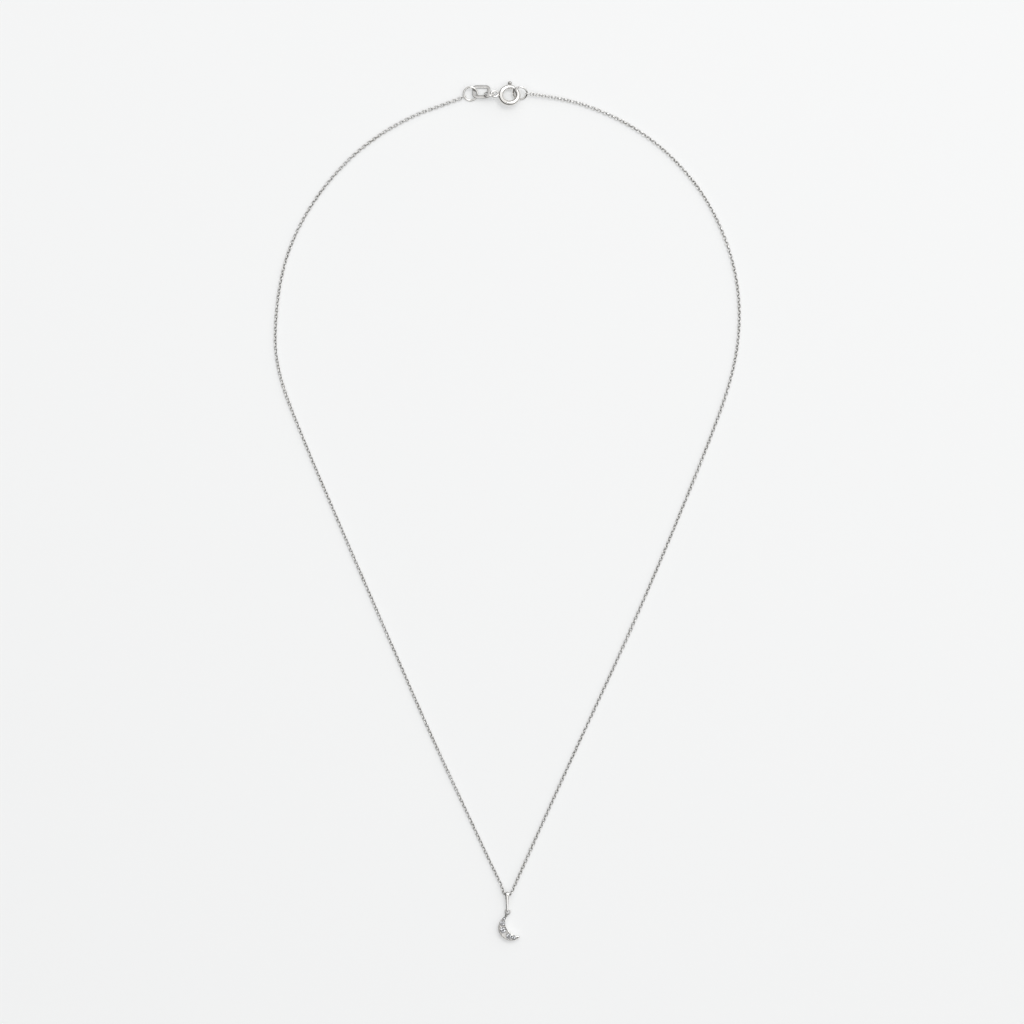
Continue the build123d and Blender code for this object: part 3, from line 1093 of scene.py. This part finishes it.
def leaf_half_width(y):
    """Half the width of the bail's leaf at a place along it: round at the top, then tapered to the foot."""
    radius = bail_leaf_width / 2
    foot_radius = bail_foot_width / 2
    top_centre = bail_top - radius
    if y > top_centre:
        return sqrt(max(radius**2 - (y - top_centre) ** 2, 0))
    share = (top_centre - y) / (bail_length - radius - foot_radius)
    return radius + (foot_radius - radius) * min(share, 1.0)


def bail_section(y, z):
    """The bail's section at a place along its wall: places across it and out from the wall's middle."""
    loop_middle = bail_room / 2 + bail_wall
    leaf = max(leaf_half_width(y + leaf_shift), bail_least_width / 2)
    band = min(bail_band_width / 2, leaf)
    rise = smooth_step(z, loop_middle + leaf_from, loop_middle + leaf_to)
    half = band + (leaf - band) * rise
    crown = band_crown + (leaf_crown - band_crown) * rise
    section = []
    for side, inset, face, drop in bar_edges(bail_edge):
        lift = face * (bail_wall / 2 - drop)
        section.append((side * (half - inset), lift - crown if face == 1 else lift))
    section.extend((share * half, bail_wall / 2 - crown * share * share) for share in crown_rows)
    return section


class NECKLACE_OT_bail(bpy.types.Operator):
    """Makes the tapered loop that the moon hangs from"""

    bl_idname = "necklace.bail"
    bl_label = "Make the bail"

    def execute(self, context):
        side = bail_side()
        points = []
        for y, z, out_y, out_z in side:
            for x, lift in bail_section(y, z):
                points.append((bail_x + x, y + lift * out_y, z + lift * out_z))
        shape = (points, loop_faces(len(side), len(points) // len(side), closed=True))
        parts = [(shape, finish_of("moon"))]
        make_piece("bail_loop", parts, "necklace", "bail", sharp_angle=40)
        return {"FINISHED"}


def half_opening(outer, inner):
    """The angle, at the outer circle's centre, from the crescent's axis to a tip of these two circles."""
    return acos((outer**2 + circles_apart**2 - inner**2) / (2 * outer * circles_apart))


def upper_tip(inset):
    """The upper tip of the crescent drawn with this inset, seen from the outer circle's centre."""
    outer = moon_outer_radius - inset
    direction = radians(moon_turn) + half_opening(outer, moon_inner_radius + inset)
    return Vector((outer * cos(direction), outer * sin(direction), 0))


def moon_middle():
    """The outer circle's centre on the table, below the soldered ring that the moon hangs by."""
    middle = moon_tip - upper_tip(0)
    return Vector((middle.x, middle.y, 0))


def place_in_crescent(direction, share):
    """A place in a direction from the outer circle's centre, a share of the way from the inner edge."""
    along = circles_apart * cos(radians(direction - moon_turn))
    inner_edge = along + sqrt(along**2 + moon_inner_radius**2 - circles_apart**2)
    reach = inner_edge + share * (moon_outer_radius - inner_edge)
    return moon_middle() + Vector((cos(radians(direction)), sin(radians(direction)), 0)) * reach


def solder_place():
    """Halfway between the middle of the tip's rounding and the nearest wire of the soldered ring."""
    rounding = moon_middle() + upper_tip(moon_tip_round)
    rounding.z = tip_ring_centre.z
    wire = tip_ring_centre + (rounding - tip_ring_centre).normalized() * tip_ring_radius
    return (rounding + wire) / 2


def crescent_loop(inset):
    """Points round the crescent, drawn about the outer circle's centre with its opening towards +X."""
    core_inset = max(inset, moon_tip_round)
    grow = core_inset - inset
    outer = moon_outer_radius - core_inset
    bite = moon_inner_radius + core_inset
    tip = half_opening(outer, bite)
    tip_x = outer * cos(tip)
    tip_y = outer * sin(tip)
    bite_tip = atan2(tip_y, tip_x - circles_apart)
    loop = []

    def add(x, y, angle):
        loop.append((x + grow * cos(angle), y + grow * sin(angle)))

    def add_tip(y, turn_from, turn_to):
        for step in range(1, moon_tip_steps):
            add(tip_x, y, turn_from + (turn_to - turn_from) * step / moon_tip_steps)

    for step in range(moon_arc_steps + 1):
        angle = tip + (2 * pi - 2 * tip) * step / moon_arc_steps
        add(outer * cos(angle), outer * sin(angle), angle)
    add_tip(-tip_y, 2 * pi - tip, 3 * pi - bite_tip)
    for step in range(moon_arc_steps + 1):
        angle = 2 * pi - bite_tip - (2 * pi - 2 * bite_tip) * step / moon_arc_steps
        add(circles_apart + bite * cos(angle), bite * sin(angle), angle + pi)
    add_tip(tip_y, bite_tip + pi, tip + 2 * pi)
    return loop


def moon_plate():
    """The crescent with its rounded rim and sunk face."""
    rows = [(inset * mm, height * mm) for inset, height in foot_rows]
    rows += [(moon_edge * inset, moon_thickness - moon_edge * drop) for drop, inset in edge_rows]
    rows += [(rim_width + inset * mm, moon_thickness - drop * mm) for inset, drop in rim_side_rows]
    rows += [(rim_width + inset * mm, seat_height + height * mm) for inset, height in recess_side_rows]
    points = []
    for inset, height in rows:
        points.extend((x, y, height) for x, y in crescent_loop(inset))
    return points, loop_faces(len(rows), len(points) // len(rows), closed=False)


def stone_seat(diameter):
    """The space that is drilled out of the moon for a stone."""
    radius = diameter / 2 + seat_clearance
    depth = pavilion_share * diameter + seat_clearance
    profile = [
        (seat_point_share * radius, seat_height - depth),
        (radius, seat_height - seat_shoulder),
        (radius + seat_opening, seat_height + seat_opening_height),
        (radius + seat_mouth, moon_thickness + seat_mouth_height),
    ]
    return turned(profile, sides=48)


def in_recess(point):
    """Whether a place is on the sunk face between the rims or in a stone's seat."""
    flat = Vector((point.x, point.y, 0))
    middle = moon_middle()
    axis = Vector((cos(radians(moon_turn)), sin(radians(moon_turn)), 0))
    inside_outer = (flat - middle).length < moon_outer_radius - rim_width
    outside_inner = (flat - middle - axis * circles_apart).length > moon_inner_radius + rim_width
    return inside_outer and outside_inner and recess_from < point.z < recess_to


class NECKLACE_OT_moon(bpy.types.Operator):
    """Makes the crescent setting with its seats, grains and soldered ring"""

    bl_idname = "necklace.moon"
    bl_label = "Make the moon"

    def execute(self, context):
        place = Matrix.Translation(moon_middle()) @ Matrix.Rotation(radians(moon_turn), 4, "Z")
        plate = placed(moon_plate(), place)
        for direction, share, size_share, turn in stones.values():
            centre = place_in_crescent(direction, share)
            plate = cut_away(plate, placed(stone_seat(size_share * moon_width), Matrix.Translation(centre)))
        shapes = [plate]
        for direction, share, diameter in grains:
            radius = diameter / 2 * mm
            centre = place_in_crescent(direction, share)
            centre.z = seat_height + radius - grain_sink
            shapes.append(placed(ball(radius, sides=20, rows=14), Matrix.Translation(centre)))
        ring = wire_loop(circle_line(tip_ring_radius, steps=56), tip_ring_wire, sides=18)
        ring = placed(ring, Matrix.Translation(tip_ring_centre))
        solder = placed(ball(solder_radius, sides=24, rows=16), Matrix.Translation(solder_place()))
        # The recess has no shape of its own: its finish, dull and darkened with patina and painted shade,
        # goes on the plate's sunk faces.
        parts = [
            (joined(shapes), finish_of("moon")),
            (joined([ring, solder]), finish_of("solder")),
            (([], []), finish_of("recess")),
        ]
        setting = make_piece("moon_setting", parts, "necklace", "moon", sharp_angle=32)
        for face in setting.data.polygons:
            if in_recess(face.center):
                face.material_index = len(parts) - 1
        return {"FINISHED"}


def brilliant(radius):
    """A round brilliant cut about its girdle's lower edge, with 57 facets."""
    diameter = 2 * radius
    table = table_share * radius
    crown = crown_share * diameter
    girdle = girdle_share * diameter
    pavilion = pavilion_share * diameter
    crown_middle = crown_middle_share * radius
    base_middle = base_middle_share * radius
    half_cos = cos(pi / 8)
    middle_height = girdle + crown * (radius - crown_middle * half_cos) / (radius - table)
    base_height = -pavilion * (1 - base_middle * half_cos / radius)
    # Rings of corners from the table down: how many, how far each ring is turned in steps, reach and height
    rings = [
        (8, 0.0, table, girdle + crown),
        (8, 0.5, crown_middle, middle_height),
        (16, 0.0, radius, girdle),
        (16, 0.0, radius, 0.0),
        (8, 0.5, base_middle, base_height),
    ]
    points = []
    starts = []
    for count, turn, reach, height in rings:
        starts.append(len(points))
        for step in range(count):
            angle = 2 * pi * (step + turn) / count
            points.append((reach * cos(angle), reach * sin(angle), height))
    points.append((0, 0, -pavilion))
    culet = len(points) - 1
    top, star, upper, lower, base = starts
    faces = [tuple(range(8))]
    for step in range(8):
        after = (step + 1) % 8
        before = (step - 1) % 8
        corner = 2 * step
        middle = 2 * step + 1
        next_corner = (2 * step + 2) % 16
        faces.append((top + step, star + step, top + after))
        faces.append((top + step, star + before, upper + corner, star + step))
        faces.append((star + step, upper + corner, upper + middle))
        faces.append((star + step, upper + middle, upper + next_corner))
        faces.append((base + step, lower + middle, lower + corner))
        faces.append((base + step, lower + next_corner, lower + middle))
        faces.append((culet, base + step, lower + corner, base + before))
    for step in range(16):
        after = (step + 1) % 16
        faces.append((upper + step, lower + step, lower + after, upper + after))
    return points, faces


class NECKLACE_OT_stones(bpy.types.Operator):
    """Makes the five clear stones, cut as round brilliants"""

    bl_idname = "necklace.stones"
    bl_label = "Make the stones"

    def execute(self, context):
        for node, (direction, share, size_share, turn) in stones.items():
            centre = place_in_crescent(direction, share)
            centre.z = seat_height
            place = Matrix.Translation(centre) @ Matrix.Rotation(radians(turn), 4, "Z")
            parts = [(placed(brilliant(size_share * moon_width / 2), place), clear_stone())]
            make_piece(node + "_cut", parts, "necklace", node, sharp_angle=0)
        return {"FINISHED"}


def lay_table(scene, settings):
    """A large sheet of white paper that glows a little, as one lit from below does."""
    mesh = bpy.data.meshes.new("table")
    far = table_size / 2
    mesh.from_pydata([(-far, -far, 0), (far, -far, 0), (far, far, 0), (-far, far, 0)], [], [(0, 1, 2, 3)])
    table = bpy.data.objects.new("table", mesh)
    scene.collection.objects.link(table)
    material, tree, shader = new_material("table_paper")
    place = tree.nodes.new("ShaderNodeTexCoord").outputs["Object"]
    paper = clouded(tree, noise(tree, place, table_mottle), settings.table_colour, table_tint)
    tree.links.new(paper, shader.inputs["Base Color"])
    shader.inputs["Roughness"].default_value = 0.9
    shader.inputs["Specular IOR Level"].default_value = 0.1
    shader.inputs["Emission Color"].default_value = (*glow_colour, 1)
    shader.inputs["Emission Strength"].default_value = settings.table_glow
    mesh.materials.append(material)


def hang_lamp(scene, settings):
    """One large soft lamp that looks at the middle of the table."""
    light = bpy.data.lights.new("soft_light", "AREA")
    light.shape = "RECTANGLE"
    light.size = lamp_size[0]
    light.size_y = lamp_size[1]
    light.energy = settings.key_strength
    lamp = bpy.data.objects.new("soft_light", light)
    lamp.location = lamp_place
    lamp.rotation_euler = (-lamp.location).to_track_quat("-Z", "Y").to_euler()
    scene.collection.objects.link(lamp)


def light_room(scene):
    """The white dome: its shades follow the height above its leaning edge, with an opening right above."""
    world = bpy.data.worlds.new("room")
    world.use_nodes = True
    tree = world.node_tree
    tree.nodes.clear()
    output = tree.nodes.new("ShaderNodeOutputWorld")
    background = tree.nodes.new("ShaderNodeBackground")
    direction = tree.nodes.new("ShaderNodeTexCoord").outputs["Generated"]
    height = tree.nodes.new("ShaderNodeVectorMath")
    height.operation = "DOT_PRODUCT"
    lean_x, lean_y = (sin(radians(angle)) for angle in dome_lean)
    height.inputs[1].default_value = (lean_x, lean_y, sqrt(1 - lean_x**2 - lean_y**2))
    ramp = tree.nodes.new("ShaderNodeValToRGB")
    ramp.color_ramp.elements[0].position = dome_shades[0][0]
    ramp.color_ramp.elements[1].position = dome_shades[-1][0]
    for position, shade in dome_shades[1:-1]:
        ramp.color_ramp.elements.new(position)
    for element, (position, shade) in zip(ramp.color_ramp.elements, dome_shades):
        element.color = (shade, shade, shade, 1)
    upward = tree.nodes.new("ShaderNodeSeparateXYZ")
    opening = tree.nodes.new("ShaderNodeMapRange")
    opening.interpolation_type = "SMOOTHSTEP"
    opening.inputs["From Min"].default_value = cos(radians(opening_outside))
    opening.inputs["From Max"].default_value = cos(radians(opening_inside))
    opening.inputs["To Min"].default_value = dome_strength
    opening.inputs["To Max"].default_value = dome_strength * opening_shade
    tree.links.new(direction, height.inputs[0])
    tree.links.new(direction, upward.inputs["Vector"])
    tree.links.new(height.outputs["Value"], ramp.inputs["Fac"])
    tree.links.new(upward.outputs["Z"], opening.inputs["Value"])
    tree.links.new(ramp.outputs["Color"], background.inputs["Color"])
    tree.links.new(opening.outputs["Result"], background.inputs["Strength"])
    tree.links.new(background.outputs["Background"], output.inputs["Surface"])
    scene.world = world


def place_camera(scene, settings):
    """The camera straight above, so far up that it sees the picture's width of the table."""
    camera = bpy.data.cameras.new("camera")
    camera.lens = camera_lens
    camera.sensor_width = camera_film_width
    distance = settings.picture_width / camera.sensor_width * camera.lens
    viewer = bpy.data.objects.new("camera", camera)
    viewer.location = (*camera_place, distance)
    scene.collection.objects.link(viewer)
    scene.camera = viewer


class NECKLACE_OT_stage(bpy.types.Operator):
    """Makes the table, the soft light, the surroundings and the camera straight above"""

    bl_idname = "necklace.stage"
    bl_label = "Make the stage"

    def execute(self, context):
        scene = context.scene
        settings = scene.necklace_stage
        scene.view_settings.view_transform = "Standard"
        lay_table(scene, settings)
        hang_lamp(scene, settings)
        light_room(scene)
        place_camera(scene, settings)
        return {"FINISHED"}


class NECKLACE_PT_panel(bpy.types.Panel):
    """Lists the necklace's sizes, finishes and steps"""

    bl_idname = "NECKLACE_PT_panel"
    bl_label = "Moon Pendant Necklace"
    bl_space_type = "VIEW_3D"
    bl_region_type = "UI"
    bl_category = "Necklace"

    def draw(self, context):
        scene = context.scene
        for settings in (scene.necklace_chain, scene.necklace_finish, scene.necklace_stage):
            box = self.layout.box()
            for name in settings.__annotations__:
                box.prop(settings, name)
        for operator in operators:
            self.layout.operator(operator.bl_idname)


operators = (
    NECKLACE_OT_stage,
    NECKLACE_OT_chain,
    NECKLACE_OT_rings,
    NECKLACE_OT_tag,
    NECKLACE_OT_clasp,
    NECKLACE_OT_bail,
    NECKLACE_OT_moon,
    NECKLACE_OT_stones,
)
classes = (ChainSettings, FinishSettings, StageSettings, *operators, NECKLACE_PT_panel)


def register():
    for item in classes:
        bpy.utils.register_class(item)
    bpy.types.Scene.necklace_chain = PointerProperty(type=ChainSettings)
    bpy.types.Scene.necklace_finish = PointerProperty(type=FinishSettings)
    bpy.types.Scene.necklace_stage = PointerProperty(type=StageSettings)


def unregister():
    del bpy.types.Scene.necklace_stage
    del bpy.types.Scene.necklace_finish
    del bpy.types.Scene.necklace_chain
    for item in reversed(classes):
        bpy.utils.unregister_class(item)


def main():
    register()
    bpy.ops.necklace.stage()
    bpy.ops.necklace.chain()
    bpy.ops.necklace.rings()
    bpy.ops.necklace.tag()
    bpy.ops.necklace.clasp()
    bpy.ops.necklace.bail()
    bpy.ops.necklace.moon()
    bpy.ops.necklace.stones()


if __name__ == "__main__":
    main()
